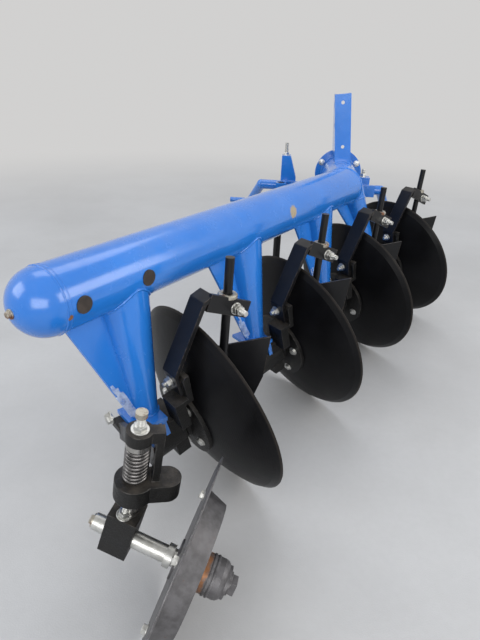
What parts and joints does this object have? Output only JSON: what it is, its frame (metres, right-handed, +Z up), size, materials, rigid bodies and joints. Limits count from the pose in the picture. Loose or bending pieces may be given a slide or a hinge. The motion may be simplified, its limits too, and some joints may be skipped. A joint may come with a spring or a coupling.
{
  "type": "mounted disc plough",
  "caption": "Tractor-mounted disc plough: round tube beam set aslant, dished discs on angled hub carriers, scrapers, three-point mast, cranked cross shaft, sprung tail wheel, parking leg.",
  "frame": {"origin": "centre of the bounding box's base, on the floor that the discs, the tail wheel and the parking leg stand on", "axes": "+X right as seen from the tractor's seat, +Y forward along the travel, +Z up"},
  "size_m": [1.4578, 2.4413, 1.1502],
  "materials": {
    "blue_paint": "glossy blue paint",
    "black_paint": "semi-gloss black paint",
    "cast_black": "rough casting painted black",
    "disc_black": "satin black paint over pressed steel",
    "dark_steel": "bare dark steel with light rust",
    "zinc": "zinc plated",
    "polished_steel": "turned and worn bright",
    "spring_steel": "dark oiled spring steel",
    "plug_rubber": "dark brown rubber"
  },
  "bodies": {
    "plough_frame": {"axle_clamp": "cast_black", "beam_plug_1": "plug_rubber", "beam_plug_2": "plug_rubber", "beam_tube": "blue_paint", "cross_shaft": "blue_paint", "front_flange": "blue_paint", "hanger_1": "blue_paint", "hanger_2": "blue_paint", "hanger_3": "blue_paint", "hanger_4": "blue_paint", "hitch_plate": "blue_paint", "hub_carrier_1": "cast_black", "hub_carrier_2": "cast_black", "hub_carrier_3": "cast_black", "hub_carrier_4": "cast_black", "mast": "blue_paint", "rear_dome": "blue_paint", "scraper_1": "black_paint", "scraper_2": "black_paint", "scraper_3": "black_paint", "scraper_4": "black_paint", "scraper_arm_1": "black_paint", "scraper_arm_2": "black_paint", "scraper_arm_3": "black_paint", "scraper_arm_4": "black_paint", "shaft_clamp_left": "blue_paint", "shaft_clamp_right": "blue_paint", "spindle": "zinc", "spindle_guide": "cast_black", "spring_screw": "zinc", "spring_seat": "polished_steel", "stand_sleeve": "blue_paint", "tail_arm": "black_paint", "tail_axle": "zinc", "tail_spring": "spring_steel"},
    "disc_unit_1": {"disc_1": "disc_black", "hub_flange_1": "cast_black"},
    "disc_unit_2": {"disc_2": "disc_black", "hub_flange_2": "cast_black"},
    "disc_unit_3": {"disc_3": "disc_black", "hub_flange_3": "cast_black"},
    "disc_unit_4": {"disc_4": "disc_black", "hub_flange_4": "cast_black"},
    "tail_wheel": {"furrow_blade": "dark_steel", "wheel_rim": "dark_steel", "wheel_hub": "dark_steel"},
    "parking_stand": {"stand_leg": "zinc"}
  },
  "joints": [
    {"name": "disc_1_spin", "type": "hinge", "parent": "plough_frame", "child": "disc_unit_1", "pos_m": [-0.31496, -0.46874, 0.31914], "axis": [0.683, 0.683, 0.2588], "continuous": true},
    {"name": "disc_2_spin", "type": "hinge", "parent": "plough_frame", "child": "disc_unit_2", "pos_m": [-0.04735, 0.01405, 0.31914], "axis": [0.683, 0.683, 0.2588], "continuous": true},
    {"name": "disc_3_spin", "type": "hinge", "parent": "plough_frame", "child": "disc_unit_3", "pos_m": [0.22027, 0.49684, 0.31914], "axis": [0.683, 0.683, 0.2588], "continuous": true},
    {"name": "disc_4_spin", "type": "hinge", "parent": "plough_frame", "child": "disc_unit_4", "pos_m": [0.48788, 0.97963, 0.31914], "axis": [0.683, 0.683, 0.2588], "continuous": true},
    {"name": "tail_wheel_spin", "type": "hinge", "parent": "plough_frame", "child": "tail_wheel", "pos_m": [-0.30396, -0.97474, 0.23682], "axis": [0.9444, -0.1327, -0.3007], "continuous": true},
    {"name": "parking_stand_slide", "type": "slide", "parent": "plough_frame", "child": "parking_stand", "axis": [0, 0, 1], "range_m": [0, 0.4]}
  ]
}
